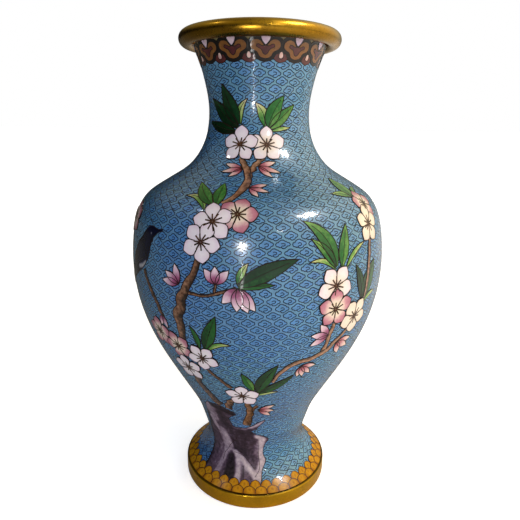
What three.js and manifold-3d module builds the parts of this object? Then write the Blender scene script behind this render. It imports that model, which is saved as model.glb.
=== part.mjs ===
// A cloisonne enamel vase with a free-standing foot: a spun copper body in four soldered
// parts, a rolled brass lip, a brass foot ring, enamel skins inside and out, and a
// decoration of blossoming branches, leaves, a bird and a gnarled stump in enamel cells.
// Millimetres, +Z up, origin on the floor under the vase's axis. The front faces -Y.

import * as THREE from "three";
import { mergeVertices } from "three/addons/utils/BufferGeometryUtils.js";
import Module from "manifold-3d";

const wasm = await Module();
wasm.setup();

// ---------------------------------------------------------------- driving dimensions

const SIDES = 32; // flats round the body
const LINING_SIDES = 16; // the inner enamel, half as many so that its corners line up

const ENAMEL = 0.8; // outer enamel
const COPPER = 1.0; // spun copper wall
const LINING = 0.5; // inner enamel
const FIT_GAP = 0.3; // left between pieces whose flats differ
const CELL_GAP = 0.4; // under the decorated cells, whose flats bridge the wall's curves
const INLAY = 0.5; // thickness of a decorated cell

const LIP_RADIUS = 41.5; // outside of the rolled lip
const LIP_BEAD = 3.8; // radius of its round section
const VASE_HEIGHT = 254;
const LIP_POINTS = 12;

const FOOT_RADIUS = 43.1;
const FOOT_HEIGHT = 8.85;
const FOOT_RIM_RADIUS = 40.2; // inside of the rim that it stands on
const FOOT_EDGE = 1.0; // thickness of the band above its ledge
const LEDGE_TOP = 7.2; // the inner ledge that carries the body and the base
const LEDGE_RADIUS = 39.4;
const LEDGE_THICK = 1.2; // at its inner edge
const LEDGE_ROOT = 2.0; // where it leaves the band
// The band's rounded edges, as [inwards, up from the floor] and [inwards, down from its top].
const FOOT_LOWER_EDGE = [[1.1, 0], [0.3, 0.5], [0, 1.5]];
const FOOT_UPPER_EDGE = [[0, 1.3], [0.3, 0.35], [0.65, 0], [FOOT_EDGE, 0.3]];
const BASE_TOP = 6.9;
const BASE_THICK = 1.0;
const BASE_ENAMEL = 0.6;

const BORDER_TOP = 7.0; // scale border: distance along the wall up from its lower edge
const COLLAR_START = 261.5; // lappet collar under the lip, along the wall
const COLLAR_HEADS = 13;
const LINING_START = 4; // lower edge of the inner enamel, along the wall
const COPPER_MARGIN = 0.7; // from the copper's upper edge to the wall's end, inside the lip
const COLLAR_MARGIN = 1.4; // the same for the collar's ground
const COLLAR_TOP = 269.4; // upper edge of the band of heads, along the wall
const FIRST_HEAD = 4.6; // degrees to the middle of the head nearest the front

// Outer surface from the foot ring to the lip, as [radius, height].
const OUTLINE = [
  [41.8, 9.0],
  [36.3, 12.7],
  [31.2, 18.2],
  [29.1, 24.0],
  [29.6, 31.0],
  [35.0, 49.0],
  [44.5, 67.0],
  [54.8, 85.5],
  [63.1, 104.0],
  [67.9, 122.5],
  [69.1, 138.0],
  [68.2, 152.0],
  [65.4, 164.5],
  [59.0, 174.0],
  [46.8, 181.7],
  [36.6, 188.7],
  [29.9, 198.1],
  [26.9, 208.5],
  [26.5, 219.0],
  [28.6, 231.0],
  [32.0, 242.5],
  [34.6, 248.4],
];

// ---------------------------------------------------------------- finishes

const finish = (color, roughness, metalness) => ({ color, roughness, metalness });
const BRASS = finish(0xb08a2a, 0.28, 1.0);
const FOOT_BRASS = finish(0xc09428, 0.34, 1.0);
const BARE_COPPER = finish(0xa86a44, 0.35, 1.0);
const FIELD_BLUE = finish(0x5a93ba, 0.12, 0.0);
const LINING_BLUE = finish(0x2f77a3, 0.25, 0.0);
const COLLAR_BROWN = finish(0x5a4a30, 0.2, 0.0);
const HEAD_OCHRE = finish(0xa9772a, 0.15, 0.0);
const SCALE_YELLOW = finish(0xcf8a1c, 0.15, 0.0);
const STUMP_PLUM = finish(0x6d5f6a, 0.15, 0.0);
const BIRD_NAVY = finish(0x1b1d38, 0.15, 0.0);
const BARK = finish(0x8a5c40, 0.15, 0.0);
const LEAF_GREEN = finish(0x3f7a35, 0.15, 0.0);
const PETAL_WHITE = finish(0xf0e2e0, 0.12, 0.0);
const PETAL_PINK = finish(0xd59aa4, 0.12, 0.0);

// ---------------------------------------------------------------- the wall as a surface

const wall = new THREE.SplineCurve(OUTLINE.map(([r, z]) => new THREE.Vector2(r, z)));
wall.arcLengthDivisions = 2000;
const WALL_LENGTH = wall.getLength();

// A point of the outline at a distance along it, moved out along its normal.
function wallPoint(along, out = 0) {
  const share = THREE.MathUtils.clamp(along / WALL_LENGTH, 0, 1);
  const point = wall.getPointAt(share);
  const tangent = wall.getTangentAt(share);
  return new THREE.Vector2(point.x + tangent.y * out, point.y - tangent.x * out);
}

// The same point turned round the axis: 0 degrees is the front, positive to its right.
function onWall(turn, along, out) {
  const { x: r, y: z } = wallPoint(along, out);
  const a = THREE.MathUtils.degToRad(turn);
  return [r * Math.sin(a), -r * Math.cos(a), z];
}

// Degrees that a width in mm takes up at a distance along the wall.
function degrees(mm, along) {
  return THREE.MathUtils.radToDeg(mm / wallPoint(along).x);
}

// Where the flats change along the wall: close together on the tight curves.
const COLLAR_END = WALL_LENGTH - COLLAR_MARGIN;
const STATIONS = [
  0, 7, 12, 18, 25, 35, 46, 60, 80, 105, 130, 148, 161, 171, 180, 189, 198, 206, 215, 224,
  233, 242, 252, COLLAR_START, COLLAR_END,
];

// ---------------------------------------------------------------- solids

// A body with its faces pointing out, from corners and triangles.
function facingOut(geometry) {
  const p = geometry.attributes.position;
  const index = geometry.index.array;
  const [a, b, c] = [new THREE.Vector3(), new THREE.Vector3(), new THREE.Vector3()];
  let volume = 0;
  for (let i = 0; i < index.length; i += 3) {
    a.fromBufferAttribute(p, index[i]);
    b.fromBufferAttribute(p, index[i + 1]);
    c.fromBufferAttribute(p, index[i + 2]);
    volume += a.dot(b.cross(c));
  }
  if (volume < 0) {
    for (let i = 0; i < index.length; i += 3) {
      [index[i], index[i + 1]] = [index[i + 1], index[i]];
    }
  }
  return geometry;
}

function welded(geometry) {
  geometry.deleteAttribute("normal");
  geometry.deleteAttribute("uv");
  return facingOut(mergeVertices(geometry, 1e-5));
}

// A profile of [radius, height] turned round the vase's axis. An open profile that
// doesn't start on the axis is closed on itself.
function turned(profile, sides = SIDES) {
  const points = profile.map(([r, z]) => new THREE.Vector2(r, z));
  if (points[0].x > 0) {
    points.push(points[0].clone());
  }
  const geometry = new THREE.LatheGeometry(points, sides);
  geometry.rotateX(Math.PI / 2);
  return welded(geometry);
}

// A layer of the wall between two distances along it and two depths below the outside.
function wallLayer(from, to, outer, inner, sides = SIDES) {
  const stations = [from, ...STATIONS.filter((s) => s > from && s < to), to];
  const outside = stations.map((s) => wallPoint(s, -outer).toArray());
  const inside = stations.map((s) => wallPoint(s, -inner).toArray());
  return turned([...outside, ...inside.reverse()], sides);
}

function asManifold(geometry) {
  const vertProperties = new Float32Array(geometry.attributes.position.array);
  const triVerts = new Uint32Array(geometry.index.array);
  return new wasm.Manifold(new wasm.Mesh({ numProp: 3, vertProperties, triVerts }));
}

function asGeometry(solid) {
  const mesh = solid.getMesh();
  const geometry = new THREE.BufferGeometry();
  const position = new THREE.BufferAttribute(new Float32Array(mesh.vertProperties), 3);
  geometry.setAttribute("position", position);
  geometry.setIndex(new THREE.BufferAttribute(new Uint32Array(mesh.triVerts), 1));
  return geometry;
}

// A closed band lofted through rings of points: each ring has the same count, in order.
function lofted(rings) {
  const count = rings[0].length;
  const index = [];
  for (let i = 0; i + 1 < rings.length; i++) {
    for (let j = 0; j < count; j++) {
      const next = (j + 1) % count;
      const [a, b] = [i * count + j, i * count + next];
      index.push(a, b, b + count, a, b + count, a + count);
    }
  }
  const last = (rings.length - 1) * count;
  for (let j = 1; j + 1 < count; j++) {
    index.push(0, j + 1, j);
    index.push(last, last + j, last + j + 1);
  }
  const geometry = new THREE.BufferGeometry();
  geometry.setAttribute("position", new THREE.Float32BufferAttribute(rings.flat(2), 3));
  geometry.setIndex(index);
  return asManifold(facingOut(geometry));
}

// ---------------------------------------------------------------- cells laid on the wall

// Cells start a gap above the enamel. A cutter is the same cell, wider and deeper, and
// takes its neighbour's room out of whatever lies under it.
const CELL = { low: CELL_GAP, high: CELL_GAP + INLAY, grow: 0 };
const CUTTER = { low: 0, high: CELL_GAP + 2 * INLAY, grow: FIT_GAP };
const WIDE_CELL = 4; // a ribbon wider than this also bends along its middle

// One row of a cell: points across it on the low side, then back along the high side.
function crossRow(left, right, steps, level) {
  const row = [];
  for (let k = 0; k <= steps; k++) {
    const t = k / steps;
    row.push([left[0] + (right[0] - left[0]) * t, left[1] + (right[1] - left[1]) * t]);
  }
  const low = row.map(([turn, along]) => onWall(turn, along, level.low));
  const high = row.map(([turn, along]) => onWall(turn, along, level.high));
  return [...low, ...high.reverse()];
}

// A ribbon through [turn, along, width] points, smoothed into the given number of steps.
function ribbon(points, steps, level) {
  const middle = points[Math.floor(points.length / 2)][1];
  const perDegree = 1 / degrees(1, middle);
  const knots = points.map(([t, s, w]) => new THREE.Vector3(t * perDegree, s, w));
  const curve = new THREE.CatmullRomCurve3(knots, false, "centripetal");
  const rings = [];
  for (let i = 0; i <= steps; i++) {
    const p = curve.getPoint(i / steps);
    const d = curve.getTangent(i / steps);
    const size = Math.hypot(d.x, d.y);
    const end = i === 0 ? -level.grow : i === steps ? level.grow : 0;
    const along = p.y + (d.y / size) * end;
    const turn = p.x / perDegree + degrees((d.x / size) * end, along);
    const half = p.z / 2 + level.grow;
    const [dt, ds] = [degrees((d.y / size) * half, along), (-d.x / size) * half];
    rings.push([[turn - dt, along - ds], [turn + dt, along + ds]]);
  }
  const widest = Math.max(...points.map((point) => point[2]));
  const across = widest > WIDE_CELL ? 2 : 1;
  return lofted(rings.map(([left, right]) => crossRow(left, right, across, level)));
}

// A leaf or a bud: a pointed ribbon from its base to its tip, bowed sideways by bend mm.
function blade([turn, along, tipTurn, tipAlong, width, bend = 0], level) {
  const [dt, ds] = [tipTurn - turn, tipAlong - along];
  const flat = dt / degrees(1, along);
  const length = Math.hypot(flat, ds);
  const at = (t, w) => {
    const bow = bend * 4 * t * (1 - t);
    const s = along + ds * t + (flat / length) * bow;
    return [turn + dt * t - degrees((ds / length) * bow, s), s, w];
  };
  const points = [at(0, width * 0.35), at(0.3, width), at(0.65, width * 0.8), at(1, 0.5)];
  return ribbon(points, 4, level);
}

// A five-petalled blossom as a disc with a lobed edge. Lean turns its first petal.
function blossom([turn, along, radius, lean], level) {
  const PETALS = 5;
  const edge = [];
  for (let petal = 0; petal < PETALS; petal++) {
    for (const [share, reach] of [[-0.5, 0.58], [-0.2, 0.98], [0.2, 0.98]]) {
      const a = THREE.MathUtils.degToRad(90 + lean + ((petal + share) * 360) / PETALS);
      const r = radius * reach + level.grow;
      edge.push([r * Math.cos(a), r * Math.sin(a)]);
    }
  }
  const place = ([x, y], scale, out) => {
    const s = along + y * scale;
    return onWall(turn + degrees(x * scale, s), s, out);
  };
  const points = [];
  for (const out of [level.low, level.high]) {
    points.push(onWall(turn, along, out));
    points.push(...edge.map((e) => place(e, 0.5, out)), ...edge.map((e) => place(e, 1, out)));
  }
  const count = edge.length;
  const face = 1 + 2 * count;
  const index = [];
  for (let j = 0; j < count; j++) {
    const n = (j + 1) % count;
    const [a, b, c, d] = [1 + j, 1 + n, 1 + count + j, 1 + count + n];
    index.push(0, b, a, a, b, d, a, d, c);
    index.push(face, face + a, face + b);
    index.push(face + a, face + d, face + b, face + a, face + c, face + d);
    index.push(c, d, face + d, c, face + d, face + c);
  }
  const geometry = new THREE.BufferGeometry();
  geometry.setAttribute("position", new THREE.Float32BufferAttribute(points.flat(), 3));
  geometry.setIndex(index);
  return asManifold(facingOut(geometry));
}

// A broad patch through rows of [along, left turn, right turn].
function patch(rows, across, level) {
  return lofted(
    rows.map(([along, left, right], i) => {
      const end = i === 0 ? -level.grow : i === rows.length - 1 ? level.grow : 0;
      const s = along + end;
      const g = degrees(level.grow, s);
      return crossRow([left - g, s], [right + g, s], across, level);
    }),
  );
}

const joined = (solids) => solids.reduce((all, solid) => all.add(solid));

// ---------------------------------------------------------------- the decoration

const BLOSSOMS = {
  // name: [[turn, along, radius, lean], finish], uppermost first
  blossom_neck_left: [[-17.5, 221, 9.2, 0], PETAL_WHITE],
  blossom_neck_right: [[7.5, 221, 9.2, 0], PETAL_WHITE],
  blossom_shoulder_low: [[-21.8, 163.5, 9.6, -26], PETAL_WHITE],
  blossom_shoulder_mid: [[-18, 173, 9.6, 12], PETAL_WHITE],
  blossom_shoulder_pink: [[-8.2, 177, 9.2, -16], PETAL_PINK],
  blossom_right_pink: [[32.1, 131.3, 9.8, 0], PETAL_PINK],
  blossom_right_white: [[31.8, 143, 10.2, 36], PETAL_WHITE],
  blossom_right_cream: [[44.6, 124.2, 9.9, 38], PETAL_WHITE],
  blossom_far_right_cream: [[53.9, 168.6, 9.6, -6], PETAL_WHITE],
  blossom_far_right_pink: [[58, 178.5, 8.6, 0], PETAL_PINK],
  blossom_low_left_white: [[-25, 103.5, 8.6, 32], PETAL_WHITE],
  blossom_low_left_grey: [[-36.8, 92.4, 9.0, 6], PETAL_WHITE],
  blossom_low_left_rose: [[-37.5, 107.5, 8.6, 20], PETAL_PINK],
  blossom_low_left_far: [[-48.5, 112.5, 8.6, 0], PETAL_PINK],
  blossom_centre: [[-7.9, 75.8, 9.2, 2], PETAL_WHITE],
  blossom_far_left: [[-70, 168, 8.8, 10], PETAL_PINK],
  blossom_back_high: [[172, 158, 9.4, 8], PETAL_WHITE],
  blossom_back_mid: [[186, 149, 9.2, -20], PETAL_PINK],
  blossom_back_low: [[163, 112, 9.4, 25], PETAL_WHITE],
};

const LEAVES = {
  // name: blades of [base turn, base along, tip turn, tip along, width, bend]
  leaves_neck_left: [
    [-21, 231, -40.5, 250, 7.5, 1],
    [-22, 229.5, -59.5, 243.5, 6.5, 0.5],
    [-24, 227.5, -64.5, 232.3, 5, 0.5],
    [-19, 232, -11.8, 243, 2.8, 2.5],
  ],
  leaves_neck_right: [
    [9.5, 229.5, 26.4, 244.5, 7, 1],
    [10.5, 228.8, 40, 240.5, 5.5, 0],
    [13, 227.8, 34.5, 229.5, 2, 0.3],
    [6.5, 231, -4.3, 240.5, 3.5, -2],
  ],
  leaves_shoulder: [
    [-21.5, 179.5, -34.5, 196, 6, 1.5],
    [-19, 181, -19.5, 196.5, 6.5, 0.5],
    [-24, 178, -36, 185.8, 3.5, -2.5],
  ],
  leaves_main: [
    [-7, 145, 15.4, 157, 7.5, 1],
    [-7, 146, -3.2, 155.8, 3.5, 0.8],
    [-6.5, 144.3, 6.4, 145.8, 3.2, 0.5],
  ],
  leaves_low_left: [
    [-25, 110, -28, 122.5, 3, -1],
    [-22.5, 110, -16, 129.7, 6.5, 0],
    [-21.5, 109, -10.4, 114.2, 2.6, 2],
  ],
  leaves_centre: [
    [-1.4, 81.5, -7.1, 95.8, 4.5, 0],
    [1, 80, 10, 102, 7, 1],
    [1.4, 79, 18.9, 93, 5, -1],
    [0, 77, 12.9, 79.8, 2.2, 0.5],
  ],
  leaves_right: [
    [31.4, 152, 16.8, 173.5, 6.5, -2],
    [31, 151.5, 20, 165.3, 4.5, -0.5],
    [34.5, 151.5, 38.6, 170.3, 5.5, 0],
    [31, 150.5, 20.7, 155.8, 2.2, -1],
    [36.5, 150.5, 48.6, 160.8, 2.5, 2],
  ],
  leaves_far_right_high: [
    [54.5, 184, 52, 199, 8, 0],
    [53, 184, 40, 187.5, 4, -1],
    [57, 184, 66.5, 189.7, 2.8, 1],
  ],
  leaves_far_right_low: [
    [47.5, 133, 42.1, 150.8, 5, -1],
    [49, 132.5, 57.1, 149.6, 8, 1],
    [49.5, 130.5, 59.3, 133.5, 2.5, 1],
  ],
  leaves_back: [
    [174, 165, 160, 182, 6.5, -1.5],
    [176, 165, 182, 186, 6.5, 0],
    [178, 165, 196, 178, 4, 1.5],
  ],
};

// A branch is ribbons of [turn, along, width] that join, and the buds that it carries.
const BRANCHES = {
  branch_neck: {
    ribbons: [
      [[-15.8, 214, 1.8], [-11.4, 211, 2.2], [-7.6, 205, 2.4], [-6.2, 198, 2.6], [-15.5, 182, 2.8]],
      [[4.5, 214, 1.8], [0, 212, 2], [-4.5, 207.5, 2.2], [-6.4, 201, 2.4]],
    ],
    buds: [
      [-9.5, 208, -26.4, 207.5, 6.5, 0],
      [-2.5, 209.3, 15, 206.5, 6.5, 0],
      [-6.2, 195, 5, 190.5, 6.5, 0],
    ],
  },
  branch_main: {
    ribbons: [
      [[-23, 156.5, 3], [-27.5, 144.5, 4.4], [-31.8, 134.5, 5.4], [-33.6, 123, 5.2], [-34.2, 111, 4.8]],
      [[-29, 140, 1.6], [-21, 139.2, 1.3], [-13.5, 141.6, 1.3], [-7.5, 144.3, 1.3]],
    ],
    buds: [
      [-30, 142.6, -37.5, 149.5, 7.5, 0],
      [-15.6, 141, -15.6, 153, 8, 0],
      [-8.5, 144, -6.4, 133, 8.5, 0],
    ],
  },
  branch_low_left: {
    ribbons: [[[-34, 86, 3.8], [-34.5, 78, 4.2], [-31, 69.6, 4.4], [-25.5, 62.5, 4.6]]],
    buds: [],
  },
  twig_low_left: {
    ribbons: [[[-24, 95, 1.6], [-18.6, 88, 1.8], [-13.6, 82, 2]]],
    buds: [],
  },
  twig_centre: {
    ribbons: [[[-13.5, 71, 2.2], [-18.4, 65.5, 2.8], [-20.5, 60.5, 3.2]]],
    buds: [],
  },
  branch_centre: {
    ribbons: [
      [[-5, 68, 3], [-4.3, 61, 3.2], [-4.8, 54.5, 3.6], [-8, 49, 4.2]],
      [[1.5, 66.5, 1.6], [-1.2, 63.5, 1.8], [-4, 58.5, 2]],
    ],
    buds: [[0, 63.5, 13, 61.5, 6.5, 0]],
  },
  branch_right: {
    ribbons: [
      [
        [8.6, 88.5, 2],
        [12.5, 97.5, 2.8],
        [21.4, 103, 3],
        [31, 105.5, 3],
        [36.8, 111.5, 2.8],
        [43, 118.5, 2.4],
      ],
      [[31, 105.5, 2.8], [31.5, 114, 2.4], [33, 123.5, 2]],
    ],
    buds: [
      [31.6, 115.8, 23.5, 119.5, 6.5, 0],
      [36.4, 110.7, 46, 106, 6.5, 0],
      [21.4, 102.5, 24, 91.5, 7, 0],
    ],
  },
  stem_far_right: {
    ribbons: [[[52.9, 160, 2], [51.4, 152, 2.4], [49.2, 144, 2.6], [48, 137, 2.4]]],
    buds: [],
  },
  perch: {
    ribbons: [[[-53, 145, 2], [-48.6, 136.5, 2.4], [-44, 127, 2.4], [-42.6, 123, 2]]],
    buds: [[-42.9, 124.5, -41.5, 116, 5, 0]],
  },
  branch_back: {
    ribbons: [
      [[196, 84, 3.4], [184, 97, 3.2], [171, 112, 3], [168, 128, 2.6], [178, 146, 2.2]],
      [[184, 97, 2.6], [194, 110, 2.2], [200, 122, 1.8]],
    ],
    buds: [[199.4, 120, 204, 131, 6.5, 0]],
  },
};

// The bird on the perch, from its tail to the tip of its beak.
const BIRD = [
  [-74, 132, 3],
  [-67, 140.5, 7],
  [-60.5, 149, 14],
  [-55, 156, 12.5],
  [-51.5, 161, 7.5],
  [-48.5, 163.8, 6.5],
  [-45, 165, 2.4],
  [-41.5, 166.2, 0.8],
];

// The stump: its broad foot, the block left of its notch, and the horn on its right.
const STUMP_FOOT = [
  [7.6, -54, 7],
  [12, -55, 8],
  [17, -57, 11.5],
  [22, -58, 9],
  [29, -60, 13],
  [36, -57, 5],
  [43.5, -53, -4],
];
const STUMP_BLOCK = [
  [42, -54, -22],
  [49, -50, -24],
  [54, -47, -17],
  [60, -41, -25],
];
const STUMP_HORN = [
  [-8, 41, 5],
  [-2, 43, 3.4],
  [3, 46.5, 2.4],
  [8, 50, 0.6],
];

// ---------------------------------------------------------------- the scene graph

const vase = new THREE.Group();

function addMesh(name, geometry, look) {
  geometry.computeVertexNormals();
  const mesh = new THREE.Mesh(geometry, new THREE.MeshStandardMaterial(look));
  mesh.name = name;
  vase.add(mesh);
}

// ---- copper body: four spun parts, soldered edge to edge
const copperTop = WALL_LENGTH - COPPER_MARGIN;
const SEAMS = { foot: 0, lower: 35, upper: 130, neck: 206, top: copperTop };
const copper = (from, to) => wallLayer(from, to, ENAMEL, ENAMEL + COPPER);
addMesh("copper_foot", copper(SEAMS.foot, SEAMS.lower), BARE_COPPER);
addMesh("copper_lower_body", copper(SEAMS.lower, SEAMS.upper), BARE_COPPER);
addMesh("copper_upper_body", copper(SEAMS.upper, SEAMS.neck), BARE_COPPER);
addMesh("copper_neck", copper(SEAMS.neck, SEAMS.top), BARE_COPPER);

// ---- enamel skins
const liningOuter = ENAMEL + COPPER + FIT_GAP;
const lining = wallLayer(LINING_START, copperTop, liningOuter, liningOuter + LINING, LINING_SIDES);
addMesh("lining_enamel", lining, LINING_BLUE);
addMesh("scale_border", wallLayer(0, BORDER_TOP, 0, ENAMEL), SCALE_YELLOW);
addMesh("field_enamel", wallLayer(BORDER_TOP, COLLAR_START, 0, ENAMEL), FIELD_BLUE);
addMesh("collar_ground", wallLayer(COLLAR_START, COLLAR_END, 0, ENAMEL), COLLAR_BROWN);

// ---- brass lip: a full round bead on the neck's upper edge
const lipProfile = [];
for (let i = 0; i < LIP_POINTS; i++) {
  const a = (2 * Math.PI * i) / LIP_POINTS;
  const middle = [LIP_RADIUS - LIP_BEAD, VASE_HEIGHT - LIP_BEAD];
  lipProfile.push([middle[0] + LIP_BEAD * Math.cos(a), middle[1] + LIP_BEAD * Math.sin(a)]);
}
addMesh("lip_ring", turned(lipProfile), BRASS);

// ---- brass foot ring: a rounded band with an inner ledge, standing on a flat rim
const footProfile = [
  [FOOT_RIM_RADIUS, 0],
  ...FOOT_LOWER_EDGE.map(([inwards, up]) => [FOOT_RADIUS - inwards, up]),
  ...FOOT_UPPER_EDGE.map(([inwards, down]) => [FOOT_RADIUS - inwards, FOOT_HEIGHT - down]),
  [FOOT_RADIUS - FOOT_EDGE, LEDGE_TOP],
  [LEDGE_RADIUS, LEDGE_TOP],
  [LEDGE_RADIUS, LEDGE_TOP - LEDGE_THICK],
  [FOOT_RIM_RADIUS, LEDGE_TOP - LEDGE_ROOT],
];
addMesh("foot_ring", turned(footProfile), FOOT_BRASS);

// ---- base: a copper plate within the ledge, enamelled underneath
const plateRadius = LEDGE_RADIUS - FIT_GAP;
const disc = (radius, low, high) => turned([[0, low], [radius, low], [radius, high], [0, high]]);
addMesh("base_plate", disc(plateRadius, BASE_TOP - BASE_THICK, BASE_TOP), BARE_COPPER);
const baseLow = BASE_TOP - BASE_THICK - BASE_ENAMEL;
addMesh("base_enamel", disc(plateRadius, baseLow, baseLow + BASE_ENAMEL), LINING_BLUE);

// ---- lappet collar: thirteen trefoil heads in one band, their lobes hanging down
function lappetCollar() {
  const REACHES = [0.12, 0.75, 1, 0.75]; // how far down each quarter of a head comes
  const [LOWEST, HIGHEST] = [COLLAR_START + 0.2, COLLAR_START + 3.2];
  const quarters = COLLAR_HEADS * REACHES.length;
  const points = [];
  for (let i = 0; i < quarters; i++) {
    const turn = FIRST_HEAD + ((i - 2) * 360) / quarters;
    const low = HIGHEST - (HIGHEST - LOWEST) * REACHES[i % REACHES.length];
    for (const out of [CELL.low, CELL.high]) {
      points.push(onWall(turn, low, out), onWall(turn, COLLAR_TOP, out));
    }
  }
  const index = [];
  for (let i = 0; i < quarters; i++) {
    const [a, b] = [4 * i, 4 * ((i + 1) % quarters)];
    for (const [p, q] of [[0, 1], [1, 3], [3, 2], [2, 0]]) {
      index.push(a + p, b + p, b + q, a + p, b + q, a + q);
    }
  }
  const geometry = new THREE.BufferGeometry();
  geometry.setAttribute("position", new THREE.Float32BufferAttribute(points.flat(), 3));
  geometry.setIndex(index);
  return facingOut(geometry);
}
addMesh("lappet_collar", lappetCollar(), HEAD_OCHRE);

// ---- cells: each one gives way to those laid before it
const laid = [];

function biggest(solid) {
  return solid.decompose().reduce((a, b) => (b.volume() > a.volume() ? b : a));
}

function addCell(name, build, look) {
  const whole = build(CELL);
  const reach = whole.boundingBox();
  const near = laid.filter(({ box }) =>
    [0, 1, 2].every((k) => box.min[k] < reach.max[k] && box.max[k] > reach.min[k]),
  );
  const free = near.reduce((solid, { cutter }) => solid.subtract(cutter), whole);
  addMesh(name, asGeometry(biggest(free)), look);
  const cutter = build(CUTTER);
  laid.push({ cutter, box: cutter.boundingBox() });
}

for (const [name, [shape, look]] of Object.entries(BLOSSOMS)) {
  addCell(name, (level) => blossom(shape, level), look);
}
addCell("bird", (level) => ribbon(BIRD, 9, level), BIRD_NAVY);
for (const [name, blades] of Object.entries(LEAVES)) {
  addCell(name, (level) => joined(blades.map((b) => blade(b, level))), LEAF_GREEN);
}
for (const [name, { ribbons, buds }] of Object.entries(BRANCHES)) {
  const build = (level) => {
    const wood = ribbons.map((points) => ribbon(points, points.length + 3, level));
    return joined([...wood, ...buds.map((b) => blade(b, level))]);
  };
  addCell(name, build, BARK);
}
const stump = (level) =>
  joined([
    patch(STUMP_FOOT, 6, level),
    patch(STUMP_BLOCK, 4, level),
    ribbon(STUMP_HORN, 4, level),
  ]);
addCell("stump", stump, STUMP_PLUM);

export default vase;
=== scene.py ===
"""The looks of the cloisonne vase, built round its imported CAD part.

The decoration is laid out on the wall. A place on it is (turn, along): turn is degrees
round the axis from the front, positive to the viewer's right, and along is millimetres up
the outer wall from the foot ring. Heights above the enamel are millimetres too.
"""

import math

import bpy
import numpy as np
from mathutils import Matrix, Vector


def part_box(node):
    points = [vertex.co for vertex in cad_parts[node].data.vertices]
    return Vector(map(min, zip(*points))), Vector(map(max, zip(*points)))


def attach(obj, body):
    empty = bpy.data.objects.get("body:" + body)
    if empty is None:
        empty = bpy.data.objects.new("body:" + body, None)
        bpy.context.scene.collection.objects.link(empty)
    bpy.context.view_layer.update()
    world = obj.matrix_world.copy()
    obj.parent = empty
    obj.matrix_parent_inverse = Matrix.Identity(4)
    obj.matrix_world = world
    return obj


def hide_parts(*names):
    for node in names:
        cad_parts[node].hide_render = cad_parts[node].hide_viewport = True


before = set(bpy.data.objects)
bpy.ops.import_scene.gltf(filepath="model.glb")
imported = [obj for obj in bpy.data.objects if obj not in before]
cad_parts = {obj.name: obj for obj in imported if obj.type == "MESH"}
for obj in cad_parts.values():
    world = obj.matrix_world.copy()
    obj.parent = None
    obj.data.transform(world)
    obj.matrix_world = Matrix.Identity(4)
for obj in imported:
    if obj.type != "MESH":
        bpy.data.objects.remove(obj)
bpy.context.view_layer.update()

MM = 0.001
rng = np.random.default_rng(11)

# ---- the wall as a surface

SKIN = 0.8  # thickness of the enamel nodes that carry the outline
WALL_NODES = ("scale_border", "field_enamel", "collar_ground")


def meridian(node):
    """A node's corners at the front of the vase, as rows of (radius, height) in mm."""
    co = np.array([v.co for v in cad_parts[node].data.vertices]) / MM
    front = co[(np.abs(co[:, 0]) < 0.01) & (co[:, 1] < 0)]
    return np.unique(np.round(np.column_stack([-front[:, 1], front[:, 2]]), 2), axis=0)


def outer_corners():
    """The outer one of each pair of corners that lie one skin apart, from the foot up."""
    points = np.concatenate([meridian(node) for node in WALL_NODES])
    gaps = np.linalg.norm(points[:, None] - points[None], axis=2)
    partner = np.argmin(np.abs(gaps - SKIN), axis=1)
    outer = points[points[:, 0] > points[partner, 0]]
    outer = outer[np.argsort(outer[:, 1])]
    apart = np.linalg.norm(np.diff(outer, axis=0), axis=1) > SKIN
    return outer[np.append(True, apart)]


def spline(knots, values, at):
    """Natural cubic spline through the values at the knots, read at the given places."""
    count, h = len(knots), np.diff(knots)
    system, right = np.eye(count), np.zeros_like(values)
    for i in range(1, count - 1):
        system[i, i - 1 : i + 2] = h[i - 1], 2 * (h[i - 1] + h[i]), h[i]
        rise = np.diff(values[i - 1 : i + 2], axis=0)
        right[i] = 6 * (rise[1] / h[i] - rise[0] / h[i - 1])
    bend = np.linalg.solve(system, right)
    k = np.clip(np.searchsorted(knots, at) - 1, 0, count - 2)
    step, up, down = h[k, None], (at - knots[k])[:, None], (knots[k + 1] - at)[:, None]
    curved = (bend[k] * down**3 + bend[k + 1] * up**3) / (6 * step)
    start, end = values[k] / step - bend[k] * step / 6, values[k + 1] / step
    return curved + start * down + (end - bend[k + 1] * step / 6) * up


def lengths(points):
    """Distance along a polyline at each of its points."""
    return np.append(0, np.cumsum(np.linalg.norm(np.diff(points, axis=0), axis=1)))


corners = outer_corners()
OUTLINE = spline(lengths(corners), corners, np.linspace(0, lengths(corners)[-1], 4000))
OUTLINE_LENGTH = lengths(OUTLINE)
OUTLINE_SLOPE = np.gradient(OUTLINE, OUTLINE_LENGTH, axis=0)
WALL_END = OUTLINE_LENGTH[-1]


def read(table, along):
    return np.interp(along, OUTLINE_LENGTH, table)


def section(along, out=0.0):
    """(radius, height) in mm of places on the outline, moved out along its normal."""
    r = read(OUTLINE[:, 0], along) + out * read(OUTLINE_SLOPE[:, 1], along)
    z = read(OUTLINE[:, 1], along) - out * read(OUTLINE_SLOPE[:, 0], along)
    return np.stack(np.broadcast_arrays(r, z), axis=-1)


def on_wall(turn, along, out):
    """Places at a height above the wall, in metres."""
    a = np.radians(turn)
    r, z = np.moveaxis(section(along, out), -1, 0)
    x, y, z = np.broadcast_arrays(r * np.sin(a), -r * np.cos(a), z)
    return np.stack([x, y, z], axis=-1) * MM


def degrees(mm, along):
    """Degrees that a width in mm takes up at a distance along the wall."""
    return np.degrees(mm / read(OUTLINE[:, 0], along))


# ---- meshes

SHARP = 50  # degrees between faces, from which an edge stays sharp


def show(name, data):
    """A new object in the scene."""
    thing = bpy.data.objects.new(name, data)
    bpy.context.scene.collection.objects.link(thing)
    return thing


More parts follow.
